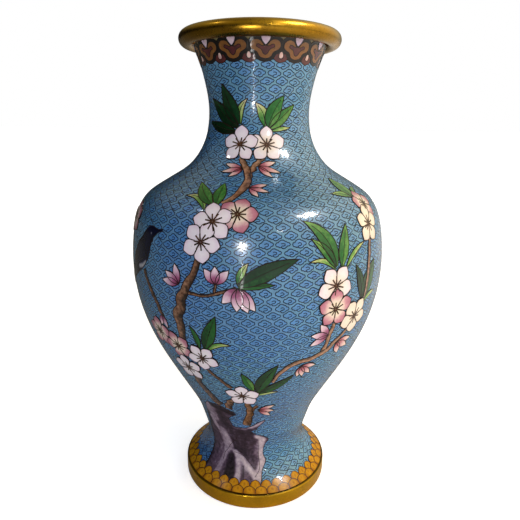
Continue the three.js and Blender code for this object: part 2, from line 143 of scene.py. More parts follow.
class Piece:
    """Points and faces gathered into one mesh. Marks are u, v and shade at each point."""

    def __init__(self):
        self.points, self.marks, self.faces = [], [], []
        self.count = 0

    def add(self, points, faces, u=0.0, v=0.0, shade=0.0):
        shape = points.shape[:-1]
        marks = [np.broadcast_to(mark, shape).ravel() for mark in (u, v, shade)]
        self.points.append(points.reshape(-1, 3))
        self.marks.append(np.column_stack(marks))
        self.faces.extend((np.asarray(faces) + self.count).tolist())
        self.count += len(self.points[-1])

    def patch(self, turn, along, out, **marks):
        """One grid of places on the wall."""
        self.add(on_wall(turn, along, out), grid_faces(1, *turn.shape), **marks)

    def make(self, name, material, slot, node):
        mesh = bpy.data.meshes.new(name)
        mesh.from_pydata(np.concatenate(self.points).tolist(), [], self.faces)
        marks = np.concatenate(self.marks)
        for column, mark in enumerate(("u", "v", "shade")):
            layer = mesh.attributes.new(mark, "FLOAT", "POINT")
            layer.data.foreach_set("value", marks[:, column].astype(np.float32))
        mesh.shade_smooth()
        mesh.set_sharp_from_angle(angle=math.radians(SHARP))
        mesh.materials.append(material)
        piece = show(name, mesh)
        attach(piece, "root")
        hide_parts(node)


def grid_faces(count, rows, columns, closed=False, tube=False):
    """Quads of grids of points that follow one another, each row by row."""
    i = np.arange(rows if closed else rows - 1)[:, None]
    j = np.arange(columns if tube else columns - 1)[None]
    here, above, right = i * columns, (i + 1) % rows * columns, (j + 1) % columns
    quads = np.stack([here + j, here + right, above + right, above + j], axis=-1)
    starts = np.arange(count)[:, None, None] * rows * columns
    return (quads.reshape(-1, 4) + starts).reshape(-1, 4)


def turned(profile, sides):
    """A closed profile of (radius, height) in mm, anticlockwise, turned round the axis."""
    a = np.linspace(0, 2 * np.pi, sides, endpoint=False)
    r, z = np.asarray(profile, float).T[:, :, None]
    points = np.stack([r * np.sin(a), -r * np.cos(a), z + 0 * a], axis=-1) * MM
    piece = Piece()
    piece.add(points, grid_faces(1, len(profile), sides, closed=True, tube=True))
    return piece


def skin(start, end, out, depth, step=1.0, sides=288):
    """A layer of the wall between two distances along it, as a closed ring."""
    along = np.linspace(start, end, max(3, round((end - start) / step)))
    return turned([*section(along, out), *section(along[::-1], out - depth)], sides)


def strip(spine, half, across):
    """A grid on the wall: a spine of (turn, along) widened by half mm to each side."""
    step = np.gradient(spine, axis=-2)
    flat, rise = step[..., 0] / degrees(1, spine[..., 1]), step[..., 1]
    size = np.hypot(flat, rise) + 1e-9
    shift = np.asarray(half)[..., None] * across
    along = spine[..., 1:] - (flat / size)[..., None] * shift
    turn = spine[..., :1] + (rise / size)[..., None] * shift * degrees(1, along)
    return turn, along


WIRE_EDGES = np.array([-1, -0.75, 0.75, 1])
WIRE_RISE = np.array([0, 1, 1, 0])
WIRE_FOOT = -0.02  # wires start a little inside the enamel
WIRE_TOP = 0.03  # and end this far above the cell that they close
# Widths of the wires.
OUTLINE_WIDTH = 0.54  # round petals, leaves and branches
FIGURE_WIDTH = 0.45  # round the stump and the bird
FINE_WIDTH = 0.4  # round scales and lappets, and in leaves
CRACK_WIDTH = 0.32
FEATHER_WIDTH = 0.3
STAMEN_WIDTH = 0.9


def wire(piece, path, width, out, above=WIRE_TOP, shade=0.0):
    """Wires along one path of (turn, along), or along many paths with equal counts."""
    path = np.asarray(path, float)
    turn, along = strip(path, np.full(path.shape[:-1], width / 2), WIRE_EDGES)
    points = on_wall(turn, along, WIRE_FOOT + (out + above - WIRE_FOOT) * WIRE_RISE)
    rows = path.shape[-2]
    paths = path.size // (2 * rows)
    piece.add(points, grid_faces(paths, rows, len(WIRE_EDGES)), shade=shade)


def smooth(points, steps):
    """Points of (turn, along, ...) joined by a curve, with that many steps in each gap."""
    points = np.asarray(points, float)
    flat = points[:, :2] / [degrees(1, points[:, 1].mean()), 1]
    knots = lengths(flat)
    share = np.arange((len(points) - 1) * steps + 1) / steps
    at = np.interp(share, np.arange(len(points)), knots)
    return spline(knots, points, at)


def ribbon(points, steps, columns):
    """A branch or a body through (turn, along, width), as a grid."""
    curve = smooth(points, steps)
    return strip(curve[:, :2], curve[:, 2] / 2, np.linspace(-1, 1, columns))


def line(turn, along, column):
    """One column of a grid, as a path."""
    return np.column_stack([turn[:, column], along[:, column]])


def edges(turn, along, around=False):
    """The outline of a grid, up its left edge and down its right one."""
    path = np.concatenate([line(turn, along, 0), line(turn, along, -1)[::-1]])
    return np.concatenate([path, path[:1]]) if around else path


BLADE_COLUMNS = 7
BLADE_STEP = 0.02  # how much each blade of a spray or a bud lies above the one it covers


def blade(base, tip, width, bend, outline, rows=13):
    """The grid and the marks of a leaf or a petal; outline gives its width along it."""
    u = np.linspace(0, 1, rows)
    (turn, along), (tip_turn, tip_along) = base, tip
    flat = (tip_turn - turn) / degrees(1, (along + tip_along) / 2)
    rise = tip_along - along
    length = math.hypot(flat, rise)
    bow = bend * 4 * u * (1 - u)
    s = along + rise * u + flat / length * bow
    t = turn + (tip_turn - turn) * u - rise / length * bow * degrees(1, s)
    v = np.linspace(-1, 1, BLADE_COLUMNS)
    return *strip(np.column_stack([t, s]), width / 2 * outline(u), v), u[:, None], v


def lay_blade(cells, wires, grid, out, neck=0, shade=0.0):
    """A blade's cell, and the wire round it from some rows above its base."""
    turn, along, u, v = grid
    cells.patch(turn, along, out, u=u, v=v, shade=shade)
    wire(wires, edges(turn[neck:], along[neck:]), OUTLINE_WIDTH, out)


def leaf_outline(u):
    return np.sin(np.pi * np.clip(u, 0.03, 1) ** 0.8) ** 0.9


def petal_outline(u):
    return np.maximum(np.sin(np.pi * u**1.45), 0.02) ** 0.88


def bud_outline(u):
    return np.maximum(np.sin(np.pi * u**0.95), 0.02) ** 0.85


# ---- materials


def colour(code):
    """Linear colour of a #rrggbb code."""
    values = [int(code[i : i + 2], 16) / 255 for i in (1, 3, 5)]
    linear = [((c + 0.055) / 1.055) ** 2.4 if c > 0.04045 else c / 12.92 for c in values]
    return (*linear, 1.0)


class Nodes:
    """A tree of shader nodes, to which nodes are added one by one."""

    def __init__(self, tree):
        self.tree = tree

    def add(self, kind, inputs=(), **settings):
        node = self.tree.nodes.new("ShaderNode" + kind)
        for key, value in settings.items():
            setattr(node, key, value)
        for key, value in dict(inputs).items():
            self.plug(node.inputs[key], value)
        return node

    def plug(self, socket, value):
        if isinstance(value, bpy.types.NodeSocket):
            self.tree.links.new(value, socket)
        else:
            socket.default_value = colour(value) if isinstance(value, str) else value

    def spread(self, value, start, end, low, high):
        limits = {"From Min": start, "From Max": end, "To Min": low, "To Max": high}
        return self.add("MapRange", {"Value": value, **limits}).outputs["Result"]

    def maths(self, operation, a, b=0.0):
        return self.add("Math", {0: a, 1: b}, operation=operation).outputs[0]

    def mix(self, share, a, b, blend="MIX"):
        node = self.add("Mix", {0: share, 6: a, 7: b}, data_type="RGBA", blend_type=blend)
        return node.outputs[2]

    def ramp(self, value, stops):
        node = self.add("ValToRGB", {"Fac": value})
        bands = node.color_ramp.elements
        while len(bands) < len(stops):
            bands.new(0.5)
        for band, (position, code) in zip(bands, stops):
            band.position = position
            band.color = colour(code)
        return node.outputs["Color"]


class Look(Nodes):
    """A material on one Principled surface, with some of its sockets set to constants."""

    def __init__(self, name, constants=()):
        self.material = bpy.data.materials.new(name)
        self.material.use_nodes = True
        super().__init__(self.material.node_tree)
        self.surface = self.tree.nodes["Principled BSDF"]
        self.place = self.add("TexCoord").outputs["Object"]
        for socket, value in dict(constants).items():
            self.surface.inputs[socket].default_value = value

    def mark(self, name):
        return self.add("Attribute", attribute_name=name).outputs["Fac"]

    def noise(self, size_mm, detail, low=0.0, high=1.0):
        inputs = {"Vector": self.place, "Scale": 1 / (size_mm * MM), "Detail": detail}
        cloud = self.add("TexNoise", inputs).outputs["Fac"]
        return self.spread(cloud, 0.3, 0.7, low, high)

    def drift(self, mark, size_mm, wander):
        """A mark that wanders a little."""
        return self.maths("ADD", self.mark(mark), self.noise(size_mm, 4, -wander, wander))

    def finish(self, base, roughness, bumps):
        """Joins the base colour, the roughness and the bumps of (height, strength, mm)."""
        self.plug(self.surface.inputs["Base Color"], base)
        self.plug(self.surface.inputs["Roughness"], roughness)
        normal = None
        for height, strength, depth in bumps:
            inputs = {"Height": height, "Strength": strength, "Distance": depth * MM}
            node = self.add("Bump", inputs)
            if normal:
                self.plug(node.inputs["Normal"], normal)
            normal = node.outputs["Normal"]
        self.plug(self.surface.inputs["Normal"], normal)
        return self.material


HAZE = 0.75  # strength of the soft glow round a highlight in the glaze, at full gloss
HAZE_ROUGHNESS = 0.4
SPECKS = 420.0  # to the metre
TURNING_MARKS = (90.0, 90.0, 2600.0)  # to the metre: long round the vase, fine up it


def enamel(name, paint, mottle=0.16, rough=(0.06, 0.15), gloss=0.5):
    """Polished enamel: paint gives its colour; mottling, specks and pits are added."""
    haze = {"Coat Weight": HAZE * gloss, "Coat Roughness": HAZE_ROUGHNESS}
    look = Look(name, {"Specular IOR Level": gloss, **haze})
    base = paint(look)
    cloudy = look.mix(look.noise(2.6, 5, 0, mottle), base, "#5a6068", "MULTIPLY")
    grained = look.mix(look.noise(0.35, 2, 0, mottle * 0.8), cloudy, "#ffffff", "SOFT_LIGHT")
    specks = look.add("TexVoronoi", {"Vector": look.place, "Scale": SPECKS}).outputs["Distance"]
    pit = look.spread(specks, 0.03, 0.1, 1, 0)
    worn = look.mix(look.maths("MULTIPLY", pit, 0.55), grained, "#2c2620")
    dull = look.maths("ADD", look.noise(9, 4, *rough), look.maths("MULTIPLY", pit, 0.3))
    return look.finish(worn, dull, [(look.noise(5, 2), 0.25, 0.02), (pit, 0.5, -0.03)])


def patinated(name, bright, dark, rough, amount, groove_shade=()):
    """Metal with a patina in blotches, fine scratches round the vase and dull patches.

    Groove shade, if any, is painted shade: it darkens the metal upwards between two heights in mm.
    """
    look = Look(name, {"Metallic": 1.0})
    base = look.mix(look.noise(14, 6, 0, amount), bright, dark)
    fine = look.mix(look.noise(1.1, 5, 0, amount * 0.6), base, dark)
    # Painted shade of the groove at the band's top edge: the metal darkens upwards between the two
    # heights.
    if groove_shade:
        height = look.add("SeparateXYZ", {"Vector": look.place}).outputs["Z"]
        start, end = (level * MM for level in groove_shade)
        fine = look.mix(look.spread(height, start, end, 0, 0.9), fine, "#1c140a")
    roughness = look.maths("ADD", look.noise(6, 5, *rough), look.noise(0.8, 3, 0, 0.06))
    long = look.add("Mapping", {"Vector": look.place, "Scale": TURNING_MARKS})
    brushed = look.add("TexNoise", {"Vector": long.outputs["Vector"], "Detail": 2.0})
    bumps = [(look.noise(0.5, 4), 0.12, 0.02), (brushed.outputs["Fac"], 0.1, 0.015)]
    return look.finish(fine, roughness, bumps)


def tarnished(name, dark, light, worn):
    """Wire gone dark, whose shade leads from the dark colour to the light one."""
    look = Look(name, {"Specular IOR Level": 0.2})
    tint = look.mix(look.mark("shade"), dark, light)
    base = look.mix(look.noise(1.1, 5, 0, 0.5), tint, worn)
    return look.finish(base, look.noise(4, 4, 0.24, 0.38), [(look.noise(0.5, 4), 0.1, 0.01)])


def plain(code, other, size=12):
    """Two colours in soft patches of a size in mm."""
    return lambda look: look.mix(look.noise(size, 4), code, other)


def by_shade(*stops, wander=0.08):
    """Colours that follow the shade."""
    return lambda look: look.ramp(look.drift("shade", 1.6, wander), stops)


def petal_paint(stops, rim, rim_share):
    """A petal's colours from its heart to its tip, and the tint of its sides."""

    def paint(look):
        drift = look.drift("u", 1.5, 0.06)
        side = look.maths("POWER", look.maths("ABSOLUTE", look.mark("v")), 2.5)
        edge = look.maths("MULTIPLY", look.maths("MULTIPLY", side, drift), rim_share)
        return look.mix(edge, look.ramp(drift, stops), rim)

    return paint


FIELD = enamel("field_enamel_look", plain("#5e90ca", "#5e98b8", 45), mottle=0.3)
CLOUD_CELL = enamel("cloud_cell_look", plain("#5089d2", "#5896c4", 40), mottle=0.3)
LINING = enamel("lining_look", plain("#2f86b4", "#2a78a8"), rough=(0.15, 0.32))
COLLAR = enamel("collar_ground_look", plain("#8d8256", "#6f6440"))
SCALE = enamel(
    "scale_look",
    lambda look: look.ramp(
        look.drift("u", 2, 0.12),
        [(0, "#6c3c0a"), (0.35, "#b4740c"), (0.75, "#d49814"), (1, "#b0740e")],
    ),
    rough=(0.16, 0.28),
    gloss=0.1,
)
OCHRE = enamel("ochre_look", by_shade((0, "#7a4a14"), (0.5, "#b98428"), (1, "#d8a848")))
MAROON = enamel("maroon_look", plain("#440f16", "#5c1a1c", 3))
LILAC = enamel("lilac_look", plain("#c9aed6", "#e6d2e4", 3))
PINK_DROP = enamel("pink_drop_look", plain("#e8cfc8", "#c89a98", 2))
BLACK_BAND = enamel("black_band_look", plain("#070304", "#140b0a", 3), gloss=0.35)
STUMP = enamel(
    "stump_look",
    by_shade(
        (0, "#08060c"), (0.28, "#3a2f3c"), (0.5, "#66546a"), (0.75, "#a898ac"), (1, "#dccfd8"),
        wander=0.11,
    ),
    rough=(0.25, 0.4),
    gloss=0.12,
)
BIRD_LOOK = enamel(
    "bird_look", by_shade((0, "#05060f"), (0.5, "#161c44"), (1, "#b4b8c4")), gloss=0.2
)
BARK = enamel(
    "bark_look",
    by_shade((0, "#12100a"), (0.32, "#3a281c"), (0.6, "#74503a"), (1, "#b08468"), wander=0.26),
)
LEAF = enamel(
    "leaf_look",
    by_shade(
        (0, "#031a0c"), (0.25, "#0a3c1c"), (0.5, "#24702c"), (0.7, "#74a850"), (0.88, "#c8cf90"),
        (1, "#ead6bc"),
        wander=0.06,
    ),
    gloss=0.32,
)
PETAL_COLOURS = {
    # kind: (colours from heart to tip, tint of the sides, its share)
    "white": ([(0, "#6c4c4c"), (0.26, "#f6f0fc"), (0.55, "#faf4ff"), (1, "#f2e4f8")], "#d4a0c8", 0.55),
    "golden": ([(0, "#8c6430"), (0.3, "#f4e8e0"), (0.6, "#f8f2fa"), (1, "#f0e2f4")], "#d8a8c8", 0.5),
    "cream": ([(0, "#8c6c50"), (0.3, "#f8ece0"), (0.6, "#f6ece4"), (1, "#f0e0d4")], "#d8b0a0", 0.5),
    "pink": (
        [(0, "#a0986c"), (0.25, "#f2e8d4"), (0.42, "#f0dcd4"), (0.68, "#c8889c"), (1, "#ae5c7c")],
        "#b05c80",
        0.6,
    ),
    "bud": ([(0.05, "#641440"), (0.35, "#a85c88"), (0.62, "#dcb8d0"), (1, "#faf0f8")], "#a85888", 0.4),
    "warm_bud": (
        [(0.05, "#84182c"), (0.35, "#bc6c80"), (0.62, "#e8bcc0"), (1, "#faece0")], "#b86470", 0.45
    ),
}
PETALS = {
    kind: enamel(f"petal_{kind}_look", petal_paint(*colours), mottle=0.06)
    for kind, colours in PETAL_COLOURS.items()
}
CLOUD_WIRE = tarnished("cloud_wire_look", "#12243a", "#2c4860", "#080f18")
MOTIF_WIRE = tarnished("motif_wire_look", "#20120e", "#643e2a", "#120a08")
LIP_BRASS = patinated("lip_brass_look", "#a87e22", "#6c4c16", (0.2, 0.32), 0.5)
# The foot band's brass, with painted shade along its top edge, where the band meets the enamel.
FOOT_BRASS = patinated("foot_brass_look", "#ecb42a", "#a47c1a", (0.24, 0.4), 0.5, (8.2, 8.6))
COPPER = patinated("copper_look", "#b87048", "#5a3420", (0.3, 0.5), 0.7)


def make_motif(cells, wires, node, part, look, slot):
    """The cells of a motif and the wires round them, in place of its node."""
    cells.make(f"{node}_{part}", look, slot, node)
    wires.make(f"{node}_wires", MOTIF_WIRE, "copper", node)


# ---- enamel grounds, metal

FIELD_START = 1.2
COLLAR_START = 261.5

skin(FIELD_START, COLLAR_START, 0, SKIN).make("field_ground", FIELD, "field_blue", "field_enamel")
skin(0, FIELD_START, 0, SKIN).make("border_ground", SCALE, "scale_yellow", "scale_border")
skin(COLLAR_START, WALL_END, 0, SKIN).make("collar_skin", COLLAR, "collar_olive", "collar_ground")


def rounded(centre, radius, start, end, steps):
    """Points of an arc round a centre, in degrees anticlockwise from outward."""
    a = np.radians(np.linspace(start, end, steps))
    return np.column_stack([centre[0] + radius * np.cos(a), centre[1] + radius * np.sin(a)])


def node_section(node):
    """A turned node's widest radius, lowest and highest points, in mm."""
    low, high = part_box(node)
    return high.x / MM, low.z / MM, high.z / MM


BRASS_SIDES = 256
LIP_STEPS = 48
lip_radius, lip_low, lip_top = node_section("lip_ring")
bead = (lip_top - lip_low) / 2
bead_centre = (lip_radius - bead, lip_top - bead)
lip_profile = rounded(bead_centre, bead, 0, 360 - 360 / LIP_STEPS, LIP_STEPS)
turned(lip_profile, BRASS_SIDES).make("rolled_lip", LIP_BRASS, "lip_brass", "lip_ring")

# The foot band in mm: the width of its rim, the radii of its edges, its inner face and the
# heights of the ledge inside it, from the top of the rim's inner face down.
RIM_WIDTH = 1.8
LOWER_EDGE, UPPER_EDGE, INNER_EDGE = 1.4, 1.0, 0.5
FOOT_INSIDE = 40.2
RIM_ROOT, LEDGE_TOP, LEDGE_UNDERSIDE, LEDGE_ROOT = 7.4, 7.2, 6.0, 5.2
foot_radius, foot_low, foot_top = node_section("foot_ring")
foot_ledge = meridian("foot_ring")[:, 0].min()
rim_inside = foot_radius - RIM_WIDTH
foot_profile = [
    [FOOT_INSIDE, foot_low],
    *rounded((foot_radius - LOWER_EDGE, foot_low + LOWER_EDGE), LOWER_EDGE, -90, 0, 8),
    *rounded((foot_radius - UPPER_EDGE, foot_top - UPPER_EDGE), UPPER_EDGE, 0, 90, 8),
    *rounded((rim_inside + INNER_EDGE, foot_top - INNER_EDGE), INNER_EDGE, 90, 180, 5),
    [rim_inside, RIM_ROOT],
    [foot_ledge, LEDGE_TOP],
    [foot_ledge, LEDGE_UNDERSIDE],
    [FOOT_INSIDE, LEDGE_ROOT],
]
turned(foot_profile, BRASS_SIDES).make("foot_band", FOOT_BRASS, "foot_brass", "foot_ring")

LINING_START = 4
LINING_THICK = 0.5
lining_top = max(meridian("lining_enamel"), key=lambda point: point[1])
lining_depth = np.linalg.norm(section(WALL_END) - lining_top)
skin(LINING_START, WALL_END, -lining_depth, LINING_THICK, step=2.5, sides=144).make(
    "lining_skin", LINING, "lining_blue", "lining_enamel"
)

BASE_EDGE = 0.3
AXIS = 0.01  # radius at which a disc closes
base_radius, base_low, base_high = node_section("base_enamel")
base_profile = [
    [AXIS, base_low],
    *rounded((base_radius - BASE_EDGE, base_low + BASE_EDGE), BASE_EDGE, -90, 0, 4),
    [base_radius, base_high],
    [AXIS, base_high],
]
turned(base_profile, sides=128).make("base_skin", LINING, "lining_blue", "base_enamel")

# ---- clouds

CLOUD_LINE = np.array([
    (-0.7, 0.3), (0.15, 0.55), (0.95, 0.25), (1, -0.35), (0.35, -0.65), (-0.35, -0.75),
    (-0.75, -1.25), (-1.35, -1.35), (-1.95, -0.95), (-2.75, -0.75), (-3.1, 0),
    (-2.6, 0.75), (-1.85, 0.85), (-1.5, 1.35), (-0.7, 1.95), (0.3, 1.95), (0.95, 1.45),
    (1.6, 1.3), (2.1, 0.75), (2.8, 0.65), (3.15, 0), (2.75, -0.7), (2, -0.8),
    (1.6, -1.35), (0.8, -1.75), (0, -1.85), (-0.75, -1.25),
])
CLOUD_RIM = 6  # where the line leaves its curl and runs round the cloud
CLOUD_PITCH = 7.4
CLOUD_ROW = 3.63
FIRST_ROW, LAST_ROW = 7.6, 263.0
CLOUD_SECTORS = 12
CLOUD_OUT = 0.03
CLOUD_WIDTH = 0.5  # of the wire
# How much a cloud leans in degrees, stretches, and moves sideways and upwards in mm, and how
# much each of its points wobbles.
LEAN, STRETCH, SIDEWAYS, UPWARDS, WOBBLE = 3, 0.04, 0.12, 0.08, 0.05


def cloud_places():
    """The middle of every cloud: rows up the wall, every other one half a cloud on."""
    rows = np.arange(FIRST_ROW, LAST_ROW, CLOUD_ROW)
    places = []
    for i, along in enumerate(rows):
        count = round(360 / degrees(CLOUD_PITCH, along))
        turns = (np.arange(count) + 0.5 * (i % 2)) * 360 / count
        places.append(np.column_stack([turns, np.full(count, along)]))
    return np.concatenate(places)


def cloud_paths(places):
    """Each cloud's line, a little turned, moved and stretched."""
    count = len(places)
    lean = np.radians(rng.normal(0, LEAN, count))[:, None]
    wide = rng.normal(1, STRETCH, (count, 1))
    tall = rng.normal(1, STRETCH, (count, 1))
    x, y = CLOUD_LINE[:, 0] * wide, CLOUD_LINE[:, 1] * tall
    x, y = x * np.cos(lean) - y * np.sin(lean), x * np.sin(lean) + y * np.cos(lean)
    x = x + rng.normal(0, SIDEWAYS, (count, 1)) + rng.normal(0, WOBBLE, x.shape)
    y = y + rng.normal(0, UPWARDS, (count, 1)) + rng.normal(0, WOBBLE, y.shape)
    along = np.minimum(places[:, 1:] + y, COLLAR_START + 2)
    return np.stack([places[:, :1] + x * degrees(1, along), along], axis=-1)


def lay_clouds():
    places = cloud_places()
    paths = cloud_paths(places)
    rim = paths[:, CLOUD_RIM:-1:2]
    middle = rim.mean(axis=1, keepdims=True)
    rings = np.stack([middle + (rim - middle) * share for share in (0.02, 0.5, 1)], axis=1)
    cells = Piece()
    faces = grid_faces(len(places), 3, rim.shape[1], tube=True)
    shade = np.broadcast_to(rng.random((len(places), 1, 1)), rings.shape[:-1])
    cells.add(on_wall(rings[..., 0], rings[..., 1], CLOUD_OUT), faces[:, ::-1], shade=shade)
    cells.make("cloud_cells", CLOUD_CELL, "field_blue", "field_enamel")
    sector = (places[:, 0] // (360 / CLOUD_SECTORS)).astype(int) % CLOUD_SECTORS
    for k in range(CLOUD_SECTORS):
        wires = Piece()
        wire(wires, paths[sector == k], CLOUD_WIDTH, CLOUD_OUT)
        wires.make(f"cloud_wires_{k + 1}", CLOUD_WIRE, "copper", "field_enamel")


lay_clouds()

# ---- scale border


SCALE_ROWS = [
    # lower edge, top, turn of the first scale's middle, height above the enamel
    (1.6, 7.5, 0.5, 0.16),
    (0.0, 4.1, 5.2, 0.2),
]
SCALES = 38
SCALE_GRID = 9
SCALE_SHOULDER = 0.35  # share of a scale's height below its round top


def lay_scales():
    cells, wires = Piece(), Piece()
    u, v = np.linspace(0, 1, SCALE_GRID), np.linspace(-1, 1, SCALE_GRID)
    rise = np.clip((u - SCALE_SHOULDER) / (1 - SCALE_SHOULDER), 0, 0.995)
    dome = np.sqrt(1 - rise**2)
    heart = 1 - np.hypot(0.8 * (u[:, None] - 0.55), 0.75 * v)
    for low, high, first, out in SCALE_ROWS:
        half = np.pi * section((low + high) / 2)[0] / SCALES
        for k in range(SCALES):
            turn = np.full(SCALE_GRID, first + k * 360 / SCALES)
            grid = strip(np.column_stack([turn, low + (high - low) * u]), dome * half, v)
            cells.patch(*grid, out, u=np.clip(heart, 0, 1), shade=rng.random())
            wire(wires, edges(*grid)[1:-1], FINE_WIDTH, out)
    cells.make("scale_cells", SCALE, "scale_yellow", "scale_border")
    wires.make("scale_wires", MOTIF_WIRE, "copper", "scale_border")


lay_scales()

# ---- lappet collar

HEADS = 13
FIRST_HEAD = 4.6
HEAD_MIDDLE = 265.0  # height along the wall of the middle of a head
# Shapes in mm round the middle of a head, each one's right half from its top down.
CUP = [(0, -1.6), (2.4, -2.2), (3.8, -2.9), (3.2, -4.5), (1.6, -5.6), (0, -6)]
DROP = [(0, -0.6), (0.8, -1.8), (1.1, -2.9), (0.8, -3.8), (0, -4.2)]
HEAD_BAND = [
    (0, 2.2), (0.7, 3.6), (2, 5), (4.2, 5.6), (6.8, 4.9), (8.5, 2.8), (8.5, 0.4),
    (7.2, -1.4), (5, -2.2), (4.3, -3.7), (2.6, -5.1), (0, -5.7),
]
HEAD_FILL = [
    (0, 0.9), (1.2, 2), (2.2, 3.4), (3.9, 4.1), (6, 3.7), (7.1, 2.1), (6.6, 0.2),
    (4.8, -0.9), (3.6, -1.6), (3.1, -2.8), (1.8, -3.9), (0, -4.3),
]
CROWN = [
    (0, 1.5), (1.3, 1.2), (2.4, 1.6), (3.7, 2), (4.3, 1.3), (3.3, 0.4), (2, -0.3),
    (1.4, -1.3), (0.8, -2.2), (0, -2.6),
]
NOTCH = [(0, 5.3), (2.2, 5.2), (1.9, 4), (1, 2.6), (0, 1.6)]
HEAD_PARTS = {
    # name: (shape, height above the enamel, heads to the side, look, slot)
    "bands": (HEAD_BAND, 0.19, 0, BLACK_BAND, "collar_olive"),
    "fills": (HEAD_FILL, 0.22, 0, OCHRE, "lappet_ochre"),
    "crowns": (CROWN, 0.26, 0, MAROON, "lappet_ochre"),
    "notches": (NOTCH, 0.3, 0, LILAC, "petal_pink"),
    "drops": (DROP, 0.14, 0.5, PINK_DROP, "petal_pink"),
    "cups": (CUP, 0.09, 0.5, MAROON, "lappet_ochre"),
}


def lay_shape(piece, wires, half, turn, out):
    """A symmetrical shape filled out from its middle, and the wire round it."""
    half = np.asarray(half, float)
    right = spline(lengths(half), half, np.linspace(0, lengths(half)[-1], 19))
    ring = np.concatenate([right, right[-2:0:-1] * (-1, 1)])
    heart = ring.mean(axis=0)
    rings = heart + (ring - heart) * np.array([0.02, 0.5, 1])[:, None, None]
    along = HEAD_MIDDLE + rings[..., 1]
    turns = turn + rings[..., 0] * degrees(1, along)
    faces = grid_faces(1, *along.shape, tube=True)
    piece.add(on_wall(turns, along, out), faces[:, ::-1])
    rim = np.column_stack([turns[-1], along[-1]])
    wire(wires, np.concatenate([rim, rim[:1]]), FINE_WIDTH, out)


def lay_collar():
    pieces = {part: Piece() for part in HEAD_PARTS}
    for k in range(HEADS):
        for part, (half, out, aside, _, _) in HEAD_PARTS.items():
            turn = FIRST_HEAD + (k + aside) * 360 / HEADS
            lay_shape(pieces[part], pieces["bands"], half, turn, out)
    for part, (_, _, _, look, slot) in HEAD_PARTS.items():
        pieces[part].make(f"lappet_{part}", look, slot, "lappet_collar")


lay_collar()

# ---- blossoms

BLOSSOMS = {
    # blossom: (turn, along, radius, lean of the first petal, kind), uppermost first
    "neck_left": (-17.5, 221, 9.2, 0, "white"),
    "neck_right": (7.5, 221, 9.2, 0, "golden"),
    "shoulder_low": (-21.8, 163.5, 9.6, -26, "white"),
    "shoulder_mid": (-18, 173, 9.6, 12, "white"),
    "shoulder_pink": (-8.2, 177, 9.2, -16, "pink"),
    "right_pink": (32.1, 131.3, 9.8, 0, "pink"),
    "right_white": (31.4, 143, 10, 36, "golden"),
    "right_cream": (44.6, 124.2, 9.9, 38, "cream"),
    "far_right_cream": (53.9, 168.6, 9.6, -6, "cream"),
    "far_right_pink": (58, 178.5, 8.6, 0, "pink"),
    "low_left_white": (-25, 103.5, 8.6, 32, "white"),
    "low_left_grey": (-36.8, 92.4, 9, 6, "white"),
    "low_left_rose": (-37.5, 107.5, 8.6, 20, "pink"),
    "low_left_far": (-48.5, 112.5, 8.6, 0, "pink"),
    "centre": (-7.9, 75.8, 9.2, 2, "white"),
    "far_left": (-70, 168, 8.8, 10, "pink"),
    "back_high": (172, 158, 9.4, 8, "white"),
    "back_mid": (186, 149, 9.2, -20, "pink"),
    "back_low": (163, 112, 9.4, 25, "white"),
}
PETAL_COUNT = 5
PETAL_WIDTH = 0.76  # of the blossom's radius
PETAL_NECK = 3  # rows of a petal, next to the middle, that have no wire
STAMENS = 10
STAMEN_TOP = 0.05
BLOSSOM_OUT = 0.3
OVERLAP = 0.045  # how much each blossom lies above the one it hides


def lay_blossom(name, turn, along, radius, lean, kind, out):
    petals, wires = Piece(), Piece()
    for k in range(PETAL_COUNT):
        a = math.radians(90 + lean + k * 360 / PETAL_COUNT)
        reach = radius * rng.normal(1, 0.02)
        top = along + reach * math.sin(a)
        tip = (turn + degrees(reach * math.cos(a), (along + top) / 2), top)
        width = radius * PETAL_WIDTH * rng.normal(1, 0.04)
        grid = blade((turn, along), tip, width, 0, petal_outline)
        lay_blade(petals, wires, grid, out, PETAL_NECK, rng.random())
    for k in range(STAMENS):
        a = math.radians(lean + (k + 0.5) * 360 / STAMENS + rng.normal(0, 4))
        reach = np.linspace(0.02, rng.uniform(0.34, 0.48), 5) * radius
        s = along + reach * math.sin(a)
        path = np.column_stack([turn + degrees(reach * math.cos(a), s), s])
        wire(wires, path, STAMEN_WIDTH, out, STAMEN_TOP, shade=rng.uniform(0.2, 0.7))
    slot = "petal_pink" if kind == "pink" else "petal_white"
    make_motif(petals, wires, name, "petals", PETALS[kind], slot)


for rank, (name, (*shape, kind)) in enumerate(BLOSSOMS.items()):
    lay_blossom(f"blossom_{name}", *shape, kind, BLOSSOM_OUT + OVERLAP * (4 - rank % 5))

# ---- leaves

